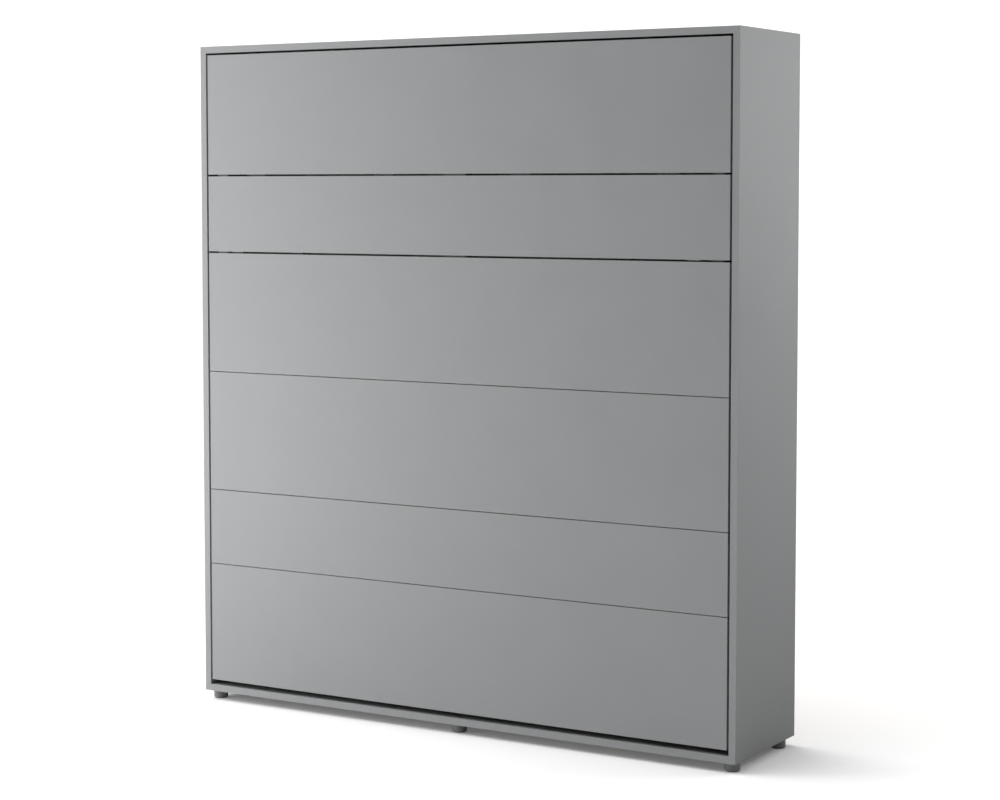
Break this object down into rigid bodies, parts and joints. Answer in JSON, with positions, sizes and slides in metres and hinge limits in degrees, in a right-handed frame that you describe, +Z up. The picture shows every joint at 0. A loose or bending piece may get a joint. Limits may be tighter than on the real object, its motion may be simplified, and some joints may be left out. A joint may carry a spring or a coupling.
{
  "type": "vertical wall bed",
  "caption": "Upright wall cabinet with a bed that folds down on side pivots, gas struts, a fold-out leg panel and a strapped mattress.",
  "frame": {"origin": "centre of the cabinet's footprint, on the floor", "axes": "+Z up, +Y from the front panels towards the wall, +X to the right seen from the front"},
  "size_m": [1.954, 0.425, 2.175],
  "materials": {
    "laminate": "matte light grey laminate on particle board",
    "hardboard": "smooth painted hardboard",
    "foot_plastic": "moulded dark grey plastic",
    "moulded_plastic": "moulded black plastic",
    "zinc_steel": "zinc-plated",
    "black_steel": "black passivated steel",
    "steel_paint": "fine-textured grey powder coat",
    "rubber": "soft black rubber",
    "birch": "clear-lacquered birch plywood",
    "ticking": "quilted knitted ticking",
    "webbing": "woven polyester webbing",
    "strut_black": "satin black enamel",
    "chrome_rod": "hard chrome"
  },
  "bodies": {
    "cabinet": {"side_panel_left": "laminate", "side_panel_right": "laminate", "top_panel": "laminate", "bottom_panel": "laminate", "back_panel_left": "hardboard", "back_panel_right": "hardboard", "back_joint_strip": "hardboard", "top_rail": "laminate", "bottom_rail": "laminate", "cabinet_feet": "foot_plastic", "foot_screws": "zinc_steel", "cam_fittings": "zinc_steel", "cabinet_pivot_plates": "steel_paint", "pivot_pins": "zinc_steel", "cabinet_plate_screws": "zinc_steel", "strut_brackets": "steel_paint", "strut_bracket_screws": "zinc_steel", "closing_stops": "steel_paint", "stop_buffers": "rubber"},
    "bed": {"front_panel_top": "laminate", "front_panel_upper": "laminate", "front_panel_middle": "laminate", "front_panel_narrow": "laminate", "front_panel_bottom": "laminate", "side_rail_left": "steel_paint", "side_rail_right": "steel_paint", "centre_beam": "steel_paint", "head_tubes": "steel_paint", "leg_tubes_upper": "steel_paint", "leg_tubes_lower": "steel_paint", "seam_tubes_upper": "steel_paint", "seam_tubes_middle": "steel_paint", "seam_tubes_lower": "steel_paint", "foot_tubes": "steel_paint", "tube_end_caps": "moulded_plastic", "panel_screws": "zinc_steel", "slats_left": "birch", "slats_right": "birch", "slat_holders": "moulded_plastic", "mattress": "ticking", "mattress_straps": "webbing", "strap_buckles": "moulded_plastic", "mattress_stops": "steel_paint", "bed_pivot_plates": "steel_paint", "pivot_bushes": "moulded_plastic", "bed_plate_bolts": "zinc_steel", "leg_hinge_leaves_fixed": "black_steel", "leg_hinge_pins": "black_steel", "leg_catches": "moulded_plastic"},
    "leg": {"leg_panel": "laminate", "leg_hinge_leaves_moving": "black_steel", "leg_glides": "steel_paint", "strike_plates": "zinc_steel"},
    "strut_cylinder_l": {"strut_cylinder_left": "strut_black", "strut_guide_left": "moulded_plastic"},
    "strut_rod_l": {"strut_rod_left": "chrome_rod"},
    "strut_cylinder_r": {"strut_cylinder_right": "strut_black", "strut_guide_right": "moulded_plastic"},
    "strut_rod_r": {"strut_rod_right": "chrome_rod"}
  },
  "joints": [
    {"name": "bed_fold", "type": "hinge", "parent": "cabinet", "child": "bed", "pos_m": [0, -0.1305, 0.3315], "axis": [1, 0, 0], "range_deg": [0, 90], "stiffness_Nm_per_rad": 350, "springref_deg": -17.19},
    {"name": "leg_fold", "type": "hinge", "parent": "bed", "child": "leg", "pos_m": [0, -0.2105, 1.752], "axis": [-1, 0, 0], "range_deg": [0, 90]},
    {"name": "strut_swing_left", "type": "hinge", "parent": "cabinet", "child": "strut_cylinder_l", "pos_m": [-0.939, -0.0405, 0.9], "axis": [1, 0, 0], "range_deg": [0, 3.17]},
    {"name": "strut_swing_right", "type": "hinge", "parent": "cabinet", "child": "strut_cylinder_r", "pos_m": [0.939, -0.0405, 0.9], "axis": [1, 0, 0], "range_deg": [0, 3.17]},
    {"name": "strut_slide_left", "type": "slide", "parent": "strut_cylinder_l", "child": "strut_rod_l", "axis": [0, 0.0609, 0.9981], "range_m": [0, 0.1383]},
    {"name": "strut_slide_right", "type": "slide", "parent": "strut_cylinder_r", "child": "strut_rod_r", "axis": [0, 0.0609, 0.9981], "range_m": [0, 0.1383]}
  ],
  "couplings": [
    {"joint": "strut_swing_left", "follows": "bed_fold", "ratio": 0.035116},
    {"joint": "strut_swing_right", "follows": "bed_fold", "ratio": 0.035116},
    {"joint": "strut_slide_left", "follows": "bed_fold", "m_per_rad": 0.087988},
    {"joint": "strut_slide_right", "follows": "bed_fold", "m_per_rad": 0.087988}
  ]
}
